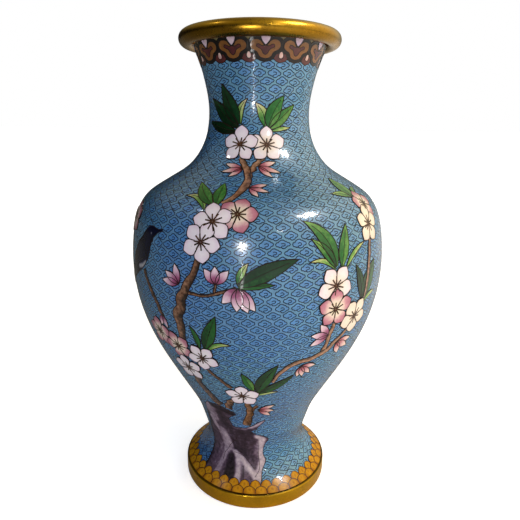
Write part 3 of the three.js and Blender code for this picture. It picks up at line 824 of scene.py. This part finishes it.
LEAVES = {
    # spray: blades of (base turn, base along, tip turn, tip along, width, bend, shade, tip)
    "neck_left": [
        (-21, 231, -40.5, 250, 7.5, 1, 0.16, 0.24),
        (-22, 229.5, -59.5, 243.5, 6.5, 0.5, 0.12, 0.25),
        (-24, 227.5, -64.5, 232.3, 5, 0.5, 0.06, 0.12), (-19, 231, -11.8, 243, 3.4, 2.2, 0.6, 1),
    ],
    "neck_right": [
        (9.5, 229.5, 26.4, 244.5, 7, 1, 0.5, 0.5), (10.5, 228.8, 40, 240.5, 5.5, 0, 0.52, 0.56),
        (13, 227.8, 34.5, 229.5, 2, 0.3, 0.65, 0.9), (6, 230, -4.3, 241, 5, -1.6, 0.58, 1),
    ],
    "shoulder": [
        (-19.8, 181, -34.8, 196.2, 6, 0.4, 0.42, 0.56),
        (-18.2, 181, -19.5, 196.8, 6, 0.3, 0.44, 0.6),
        (-23, 178.2, -37, 185.6, 3.8, -3.4, 0.62, 0.95),
    ],
    "main": [
        (-7, 145, 15.4, 157, 7.5, 1, 0.22, 0.18), (-7, 146, -3.2, 155.8, 3.5, 0.8, 0.5, 1),
        (-6.5, 144.3, 6.4, 145.8, 3.2, 0.5, 0.35, 0.4),
    ],
    "low_left": [
        (-25, 110, -28, 122.5, 3, -1, 0.35, 0.5), (-22.5, 110, -16, 129.7, 6.5, 0, 0.3, 0.4),
        (-21.5, 109, -10.4, 114.2, 2.6, 2, 0.6, 0.9),
    ],
    "centre": [
        (-1.4, 81.5, -7.1, 95.8, 4.5, 0, 0.55, 0.45), (1, 80, 10, 102, 7, 1, 0.25, 0.3),
        (1.4, 79, 18.9, 93, 5, -1, 0.25, 0.3), (0, 77, 12.9, 79.8, 2.2, 0.5, 0.7, 0.95),
    ],
    "right": [
        (31.4, 152, 18, 173.7, 6.8, -3.4, 0.34, 0.68),
        (31, 151.5, 20.6, 165.5, 4.5, -1.4, 0.5, 0.7), (34.2, 151.5, 37.8, 170.9, 6, 0.4, 0.5, 0.6),
        (31, 150.5, 19.4, 154.9, 2.4, -2.6, 0.65, 0.92),
        (36.5, 150.5, 48.6, 160.8, 2.5, 2, 0.65, 0.92),
    ],
    "far_right_high": [
        (54.5, 184, 52, 199, 8, 0, 0.5, 0.6), (53, 184, 40, 187.5, 4, -1, 0.55, 0.8),
        (57, 184, 66.5, 189.7, 2.8, 1, 0.5, 0.8),
    ],
    "far_right_low": [
        (47.5, 133, 42.1, 150.8, 5, -1, 0.2, 0.25), (49, 132.5, 56.6, 150.4, 10, 1, 0.28, 0.35),
        (49.5, 130.5, 59.3, 133.5, 2.5, 1, 0.65, 0.9),
    ],
    "back": [
        (174, 165, 160, 182, 6.5, -1.5, 0.35, 0.45), (176, 165, 182, 186, 6.5, 0, 0.3, 0.42),
        (178, 165, 196, 178, 4, 1.5, 0.6, 0.9),
    ],
}
LEAF_OUT = 0.2
LEAF_ROWS = 21
THIN_LEAF = 3.0  # mm wide: up to it a leaf has no vein
HALF_TONE = 0.1  # by which the two halves of a leaf differ


def lay_leaves(name, blades):
    cells, wires = Piece(), Piece()
    for k, (turn, along, tip_turn, tip_along, width, bend, shade, tip_shade) in enumerate(blades):
        out = LEAF_OUT + BLADE_STEP * (len(blades) - k)
        grid = blade((turn, along), (tip_turn, tip_along), width, bend, leaf_outline, LEAF_ROWS)
        *places, u, v = grid
        tone = shade + (tip_shade - shade) * u**1.5 + HALF_TONE * np.sign(v) * (1 - u)
        lay_blade(cells, wires, grid, out, shade=tone)
        if width > THIN_LEAF:
            vein = line(*places, BLADE_COLUMNS // 2)
            wire(wires, vein[:-3], FINE_WIDTH, out)
    make_motif(cells, wires, name, "cells", LEAF, "leaf_green")


for name, blades in LEAVES.items():
    lay_leaves(f"leaves_{name}", blades)

# ---- branches and buds

BRANCHES = {
    # name: shade, then ribbons of (turn, along, width)
    "branch_neck": (
        0.7,
        [(-15.8, 214, 2.2), (-11.4, 211, 2.7), (-7.6, 205, 3.2), (-6.2, 198, 3.4), (-15.5, 182, 3.4)],
        [(4.5, 214, 2.2), (0, 212, 2.6), (-4.5, 207.5, 2.8), (-6.4, 201, 3)],
    ),
    "branch_main": (
        0.52,
        [(-22.4, 156.5, 2.7), (-26.4, 144.5, 3.8), (-30.8, 136, 5.2), (-32.5, 123, 4.3),
         (-33.4, 111, 4.2)],
        [(-29, 140, 1.6), (-21, 139.2, 1.3), (-13.5, 141.6, 1.3), (-7.5, 144.3, 1.3)],
        [(-15.8, 141, 1.3), (-15.4, 145.8, 1)],
    ),
    "branch_low_left": (0.4, [(-34, 86, 3.8), (-34.5, 78, 4.2), (-31, 69.6, 4.4), (-25.5, 62.5, 4.6)]),
    "twig_low_left": (0.5, [(-24, 95, 1.6), (-18.6, 88, 1.8), (-13.6, 82, 2)]),
    "twig_centre": (0.55, [(-13.5, 71, 2.8), (-18.4, 65.5, 3.3), (-20.5, 60, 3.6)]),
    "branch_centre": (
        0.6,
        [(-5, 68, 3), (-4.3, 61, 3.2), (-4.8, 54.5, 3.6), (-8.4, 45.5, 4.2)],
        [(1.5, 66.5, 1.6), (-1.2, 63.5, 1.8), (-4, 58.5, 2)],
    ),
    "branch_right": (
        0.78,
        [(8.6, 88.5, 1.8), (12.5, 97.5, 2.4), (21.4, 103, 2.7), (31, 105.5, 2.7), (36.8, 111.5, 2.5),
         (43, 118.5, 2.2)],
        [(31, 105.5, 2.8), (31.5, 114, 2.4), (33, 123.5, 2)],
    ),
    "stem_far_right": (0.62, [(53, 161, 2), (51.5, 150, 2.3), (50.7, 141, 2.3), (49.6, 132, 1.8)]),
    "perch": (0.45, [(-53, 145, 2), (-48.6, 136.5, 2.4), (-44, 127, 2.4), (-42.6, 123, 2)]),
    "branch_back": (
        0.6,
        [(196, 84, 3.4), (184, 97, 3.2), (171, 112, 3), (168, 128, 2.6), (178, 146, 2.2)],
        [(184, 97, 2.6), (194, 110, 2.2), (200, 122, 1.8)],
    ),
}
BUDS = {
    # branch: buds of (base, tips of its petals, width, kind)
    "branch_neck": [
        ((-11.8, 207.8), [(-26.4, 210.3), (-20, 201.7), (-27, 205)], 3, "warm_bud"),
        ((0, 209.3), [(13.6, 211.7), (9.3, 201.7), (15.7, 205)], 3, "warm_bud"),
        ((-4.8, 194), [(0.2, 187.2), (5.2, 196.2), (5.6, 190.6)], 2.8, "warm_bud"),
    ],
    "branch_main": [
        ((-31.1, 143), [(-33.2, 152.3), (-39.6, 143.5), (-37.9, 148)], 4, "bud"),
        ((-15.4, 145.3), [(-20, 152), (-10.4, 152), (-15.7, 153.5)], 4.2, "bud"),
        ((-7.1, 144.2), [(-13, 136.8), (-0.5, 133.8), (-3.2, 132.8), (-7.4, 133.2)], 5.4, "bud"),
    ],
    "branch_centre": [
        ((2.1, 62), [(12.9, 66.4), (11.4, 55.8), (13.6, 60.8)], 3.2, "warm_bud"),
    ],
    "branch_right": [
        ((31.1, 117), [(26.1, 124.2), (22.9, 112.5), (22.5, 118.6)], 4, "bud"),
        ((37.9, 110.7), [(47, 110.7), (41.1, 102.5), (46.4, 105.7)], 4, "warm_bud"),
        ((21.4, 99.2), [(20.7, 91.3), (29.3, 98.5), (23.8, 91), (27.5, 93)], 3.2, "warm_bud"),
    ],
    "perch": [((-42.9, 124), [(-45, 117.5), (-41, 117)], 3, "bud")],
    "branch_back": [((199.4, 120), [(197, 129), (207, 128), (203, 131)], 3.6, "bud")],
}
BRANCH_OUT = 0.2
BRANCH_COLUMNS = 7
BRANCH_WIRE_TOP = 0.02
BUD_OUT = 0.26
BENEATH = 0.05  # how much each side branch lies below the one it leaves
RAISED = {"stem_far_right": 0.16}  # mm more, for a branch that crosses over leaves


def gnarled(points):
    """The same branch with more points, each a little off its line and its width."""
    curve = smooth(points, 3)
    wander = rng.normal(0, 1, curve.shape) * curve[:, 2:] * (0.1, 0.08, 0.09)
    wander[:, 0] *= degrees(1, curve[:, 1])
    wander[[0, -1]] = 0
    return curve + wander


def lay_branch(name, ribbons, shade):
    wood, wires = Piece(), Piece()
    for k, points in enumerate(ribbons):
        turn, along = ribbon(gnarled(points), 4, BRANCH_COLUMNS)
        out = BRANCH_OUT + RAISED.get(name, 0) - BENEATH * k
        side = shade + 0.3 * np.clip(np.linspace(-0.9, 1.1, BRANCH_COLUMNS), -1, 0.6)
        wood.patch(turn, along, out, shade=side)
        for edge in (0, -1):
            wire(wires, line(turn, along, edge), OUTLINE_WIDTH, out, BRANCH_WIRE_TOP)
    make_motif(wood, wires, name, "wood", BARK, "bark_brown")


def lay_buds(name, buds):
    wires, kinds = Piece(), {}
    for base, tips, width, kind in buds:
        petals = kinds.setdefault(kind, Piece())
        for k, tip in enumerate(tips):
            grid = blade(base, tip, width, 0, bud_outline)
            lay_blade(petals, wires, grid, BUD_OUT + BLADE_STEP * k)
    for kind, petals in kinds.items():
        petals.make(f"{name}_{kind}s", PETALS[kind], "petal_pink", name)
    wires.make(f"{name}_bud_wires", MOTIF_WIRE, "copper", name)


for name, (shade, *ribbons) in BRANCHES.items():
    lay_branch(name, ribbons, shade)
for name, buds in BUDS.items():
    lay_buds(name, buds)

# ---- painted patches

# Strokes are (path of (turn, along), width in mm, shade), later ones over earlier ones.
SOFT_EDGE = 1.6  # mm over which a stroke fades


def painted(turn, along, base, strokes):
    """The shade at each point of a grid, from soft-edged strokes over a base shade."""
    shade = np.full(turn.shape, float(base))
    scale = 1 / degrees(1, along)
    for path, width, tone in strokes:
        near = np.full(turn.shape, 1e9)
        for (t0, s0), (t1, s1) in zip(path, path[1:]):
            px, py = (turn - t0) * scale, along - s0
            dx, dy = (t1 - t0) * scale, s1 - s0
            share = np.clip((px * dx + py * dy) / (dx * dx + dy * dy), 0, 1)
            near = np.minimum(near, np.hypot(px - share * dx, py - share * dy))
        weight = np.clip((width / 2 - near) / SOFT_EDGE + 0.5, 0, 1)
        shade = shade + (tone - shade) * weight
    return shade


def rows_grid(rows, step=0.7, columns=54):
    """A patch through rows of (along, left turn, right turn)."""
    rows = np.asarray(rows, float)
    along = np.arange(rows[0, 0], rows[-1, 0] + step, step)
    along[-1] = rows[-1, 0]
    left, right = (np.interp(along, rows[:, 0], rows[:, k]) for k in (1, 2))
    v = np.linspace(0, 1, columns)
    turn = left[:, None] + (right - left)[:, None] * v
    return turn, np.broadcast_to(along[:, None], turn.shape)


STUMP_FOOT = [
    (4.5, -55, 4.5), (9, -55, 6.5), (13.5, -56, 8), (18, -57.5, 12), (20.5, -58, 10),
    (23, -58, 9), (28, -59.8, 10), (31, -59.5, 12.5), (33.5, -58.3, 14), (35, -57.5, 10.5),
    (36.5, -56.8, 6), (37.8, -56, 0), (40, -55, -3.5), (42.5, -54, -8),
]
STUMP_BLOCK = [
    (42, -54.2, -21), (46, -52, -23.5), (49, -50.5, -24), (52, -48, -20.5),
    (54, -47, -16.5), (56, -45.5, -16), (58, -43.5, -21), (60.5, -40.5, -27),
]
STUMP_HORN = [(-9, 41, 4), (-2, 43, 3.4), (3, 46.5, 2.4), (8, 50, 0.6)]
STUMP_STROKES = [
    ([(-56, 8), (-58, 20), (-59, 30), (-55, 38), (-51, 46)], 4, 0.08),
    ([(-46, 8), (-48, 20), (-49, 32)], 8, 0.4),
    ([(-43, 57), (-45, 50), (-42, 45)], 6, 0.66),
    ([(-37, 57), (-38, 49)], 3.5, 0.56),
    ([(-48, 44), (-44, 38), (-41, 36)], 3.4, 0.76),
    ([(-36, 58.5), (-28, 57), (-19, 55.2)], 4.5, 0.14),
    ([(-33, 52), (-29, 42), (-24, 40)], 5, 0.24),
    ([(-13, 37), (-12, 26)], 15, 0.22),
    ([(-22, 37), (-18, 28)], 6, 0.3),
    ([(-4, 30), (-4, 22)], 6, 0.3),
    ([(-37, 35), (-34, 29), (-32, 24)], 7, 0.66),
    ([(-33, 33), (-31, 27)], 3.5, 0.8),
    ([(-33, 24), (-36, 19), (-38, 13), (-39, 6)], 3.6, 0.7),
    ([(-42, 24), (-44, 14), (-44, 6)], 3, 0.5),
    ([(-28, 20), (-31, 13), (-31, 6)], 3, 0.42),
    ([(-25, 17), (-25, 5)], 7, 0.12),
    ([(-8, 12), (-5, 6)], 6, 0.44),
    ([(-23, 21.6), (-15, 18.6), (-9, 15.2), (-2, 11.2), (2.5, 7)], 3.2, 0.9),
    ([(-20, 19.5), (-17.5, 13), (-16, 5)], 3.4, 0.86),
    ([(1, 36), (8, 33.5)], 3, 0.82),
    ([(7, 33), (6, 28), (6, 23.5), (8.5, 18.5), (5, 12), (4, 6)], 4.2, 0.86),
    ([(2, 28), (1, 22)], 2.4, 0.56),
    ([(-7, 43), (0, 45), (7, 49.8)], 1.6, 0.84),
    ([(-22, 41.6), (-9, 41.6)], 1, 0.64),
]
STUMP_CRACKS = [
    [(-22, 31), (-26, 28), (-30, 25), (-33, 22), (-36, 20), (-37, 15)],
    [(3, 31), (3.5, 26), (4, 20), (5, 14), (0, 9)],
    [(-25, 21.5), (-15, 20.7), (-8, 17.8), (0, 13)],
    [(-12.5, 14.5), (-11, 9), (-10.5, 5)],
]
STUMP_EDGES = [
    [(5, 5), (6.5, 9), (8, 13.5), (12, 18), (10, 20.5), (9, 23), (10, 28), (12.5, 31), (14, 33.5),
     (10.5, 35), (6, 36.5), (0, 37.8), (0, 40.5), (4.5, 46), (8.2, 50.4), (2, 48), (-4, 44.5),
     (-9, 43), (-14, 42), (-21, 42.2), (-23.5, 46), (-24, 49), (-20.5, 52), (-16.2, 55), (-21, 58),
     (-27, 60.5), (-34, 61)],
    [(-55, 5), (-55, 9), (-57.5, 18), (-58, 23), (-59.8, 28), (-58.3, 33.5), (-54, 42.5),
     (-50.5, 49), (-47, 54), (-40.5, 60.5)],
]

BIRD = [
    (-74, 132, 3), (-66, 140.5, 6), (-58.6, 149, 12.4), (-53.4, 156, 11.6),
    (-51, 161, 8.2), (-48.5, 163.8, 6.8), (-45, 165, 2.2), (-41.5, 166.2, 0.8),
]
BIRD_STROKES = [
    ([(-62, 158), (-56, 152)], 6, 0.3),
    ([(-58, 145), (-54, 146.5), (-51.4, 148.5)], 2.4, 0.95),
    ([(-70, 139), (-62, 146)], 1.2, 0.5),
    ([(-48.6, 163.5), (-48.5, 163.6)], 1, 1),
]
BIRD_LINES = [
    [(-72, 135), (-66, 141), (-59, 147), (-54, 150)],
    [(-70, 138), (-64, 145), (-58, 152)],
    [(-64, 150), (-59, 157), (-54, 160)],
]
STUMP_OUT, BIRD_OUT = 0.1, 0.2
PATCH_STEP = 0.01  # how much each patch of a figure lies above the one before


def lay_figure(node, look, slot, out, base, grids, strokes, wire_paths):
    """Patches painted with strokes, and the wires of each width."""
    body, wires = Piece(), Piece()
    for k, (turn, along) in enumerate(grids):
        tone = painted(turn, along, base, strokes)
        body.patch(turn, along, out + PATCH_STEP * k, shade=tone)
    for width, paths in wire_paths.items():
        for path in paths:
            wire(wires, path, width, out)
    make_motif(body, wires, node, "body", look, slot)


stump = [rows_grid(STUMP_FOOT), rows_grid(STUMP_BLOCK, columns=30), ribbon(STUMP_HORN, 5, 7)]
stump_wires = {
    CRACK_WIDTH: [smooth(path, 4) for path in STUMP_CRACKS],
    FIGURE_WIDTH: [smooth(path, 3) for path in STUMP_EDGES],
}
lay_figure("stump", STUMP, "stump_plum", STUMP_OUT, 0.36, stump, STUMP_STROKES, stump_wires)

bird = ribbon(BIRD, 8, 15)
bird_wires = {
    FIGURE_WIDTH: [edges(*bird, around=True)],
    FEATHER_WIDTH: [smooth(path, 4) for path in BIRD_LINES],
}
lay_figure("bird", BIRD_LOOK, "bird_navy", BIRD_OUT, 0.2, [bird], BIRD_STROKES, bird_wires)

# ---- kept nodes, the stage

for node in ("copper_foot", "copper_lower_body", "copper_upper_body", "copper_neck", "base_plate"):
    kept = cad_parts[node]
    kept.material_slots[0].link = "OBJECT"
    kept.material_slots[0].material = COPPER


PAPER_REACH = 40.0  # metres to each side, so that the paper's edge is out of sight
PAPER_GLOW = 0.15  # on the vase


def stage_material():
    """Pale paper that glows for the camera.

    The vase mirrors it dim at the left and bright at the right.
    """
    look = Look("paper_look")
    base = look.mix(look.noise(60, 4), "#f0f1f2", "#ebecee")
    away = look.add("VectorMath", {0: look.place}, operation="LENGTH").outputs["Value"]
    sideways = look.add("SeparateXYZ", {"Vector": look.place}).outputs["X"]
    rays = look.add("LightPath").outputs
    glow = look.maths("MULTIPLY", rays["Is Diffuse Ray"], PAPER_GLOW)
    for ray, level in (
        ("Is Camera Ray", look.spread(away, 0.2, 1, 0.8, 1.1)),
        ("Is Glossy Ray", look.spread(sideways, 0, 0.3, 0, 0.5)),
    ):
        glow = look.maths("ADD", glow, look.maths("MULTIPLY", level, rays[ray]))
    look.plug(look.surface.inputs["Emission Color"], base)
    look.plug(look.surface.inputs["Emission Strength"], glow)
    dim = look.maths("MULTIPLY", look.spread(sideways, -0.3, 0.25, 0.8, 0.1), rays["Is Glossy Ray"])
    tone = look.mix(dim, base, "#30343c")
    return look.finish(tone, look.noise(20, 3, 0.7, 0.85), [(look.noise(1.5, 4), 0.05, 0.05)])


def make_stage():
    """A broad pale sheet under the vase."""
    sheet = [(x * PAPER_REACH, y * PAPER_REACH, 0) for x, y in ((-1, -1), (1, -1), (1, 1), (-1, 1))]
    mesh = bpy.data.meshes.new("paper")
    mesh.from_pydata(sheet, [], [(0, 1, 2, 3)])
    mesh.materials.append(stage_material())
    show("paper", mesh)


make_stage()

# ---- camera and light

CAMERA_PLACE = Vector((0, -0.2704, 0.2074))
CAMERA_PITCH = 15.23  # degrees down
CAMERA_ROLL = 0.67
camera_data = bpy.data.cameras.new("camera")
camera_data.sensor_width = 36
camera_data.lens = 33.66
camera_data.shift_x = 0.00506
camera_data.clip_start = 0.01
camera = show("camera", camera_data)
tilt = Matrix.Rotation(math.radians(90 - CAMERA_PITCH), 4, "X")
camera.matrix_world = (
    Matrix.Translation(CAMERA_PLACE) @ tilt @ Matrix.Rotation(math.radians(CAMERA_ROLL), 4, "Z")
)
bpy.context.scene.camera = camera


def area_light(name, place, target, size, power, tint="#ffffff", mirrored=True):
    """A lamp that either shows in the glaze as a highlight or only lights it."""
    data = bpy.data.lights.new(name, "AREA")
    data.shape = "RECTANGLE"
    data.size, data.size_y = size
    data.energy = power
    data.color = colour(tint)[:3]
    lamp = show(name, data)
    lamp.location = place
    aim = Vector(target) - Vector(place)
    lamp.rotation_euler = aim.to_track_quat("-Z", "Y").to_euler()
    lamp.visible_glossy = mirrored
    lamp.visible_diffuse = not mirrored


# Broad lights that light the enamel softly and don't show in it.
area_light("soft_front", (0.6, -1.2, 0.6), (0, 0, 0.1), (0.9, 0.8), 7.2, "#e6eaff", mirrored=False)
area_light("soft_right", (1.2, -0.4, 0.6), (0, 0, 0.12), (0.8, 1), 7.8, "#ffd080", mirrored=False)
area_light("soft_back", (0.5, 1.3, 0.7), (0, 0, 0.12), (0.9, 0.8), 5, mirrored=False)
# Small bright lamps that show as the highlights on the neck, the shoulder and the lip.
area_light("lamp_beside_camera", (-0.061, -0.297, 0.198), (0, -0.06, 0.16), (0.012, 0.012), 0.35)
area_light("strip_beside_camera", (-0.06, -0.303, 0.13), (0, -0.03, 0.2), (0.002, 0.24), 0.1)
area_light("lamp_ceiling", (0.59, -0.31, 0.96), (0.02, -0.05, 0.18), (0.26, 0.12), 12)
area_light("lamp_high_front", (0.3, -0.79, 0.62), (0, 0, 0.16), (0.03, 0.03), 1)
area_light("lamp_high_left", (-0.55, -0.13, 0.9), (0, 0, 0.17), (0.03, 0.03), 0.4)

SEEN = (1, 1, 1, 1)  # the backdrop as the camera sees it
CEILING = 0.4  # how much the room brightens upwards
# Colours from the viewer's left to the right: of the room as the glaze mirrors it, and of the
# light that falls on the vase.
ROOM = [
    (0, "#141414"), (0.2, "#101010"), (0.5, "#262a2c"), (0.65, "#585c5a"), (0.8, "#8e9286"),
    (0.92, "#d8d4be"), (1, "#f4e8cc"),
]
DAYLIGHT = [(0, "#2a2a46"), (0.45, "#7e808e"), (1, "#fff2ac")]
# From below to overhead: a warm ceiling that the shoulder mirrors.
ROOF = [(0.65, "#000000"), (0.85, "#8c8858"), (1, "#545034")]
GLARE = 1.8  # how much brighter the room is than it looks


def studio_world():
    """White behind the vase, in a room that is dim at the left and bright at the right."""
    world = bpy.data.worlds.new("studio")
    world.use_nodes = True
    nodes = Nodes(world.node_tree)

    def across(value, stops):
        return nodes.ramp(nodes.spread(value, -1, 1, 0, 1), stops)

    way = nodes.add("TexCoord").outputs["Generated"]
    parts = nodes.add("SeparateXYZ", {"Vector": way}).outputs
    side = nodes.maths("ADD", parts["X"], nodes.maths("MULTIPLY", parts["Z"], CEILING))
    light = nodes.mix(1, across(side, ROOM), across(parts["Z"], ROOF), "ADD")
    rays = nodes.add("LightPath").outputs
    light = nodes.mix(rays["Is Diffuse Ray"], light, across(parts["X"], DAYLIGHT))
    light = nodes.mix(rays["Is Camera Ray"], light, SEEN)
    glare = nodes.maths("MULTIPLY", rays["Is Glossy Ray"], GLARE - 1)
    background = nodes.tree.nodes["Background"].inputs
    nodes.plug(background["Color"], light)
    nodes.plug(background["Strength"], nodes.maths("ADD", glare, 1))
    bpy.context.scene.world = world


studio_world()
bpy.context.scene.view_settings.view_transform = "Standard"
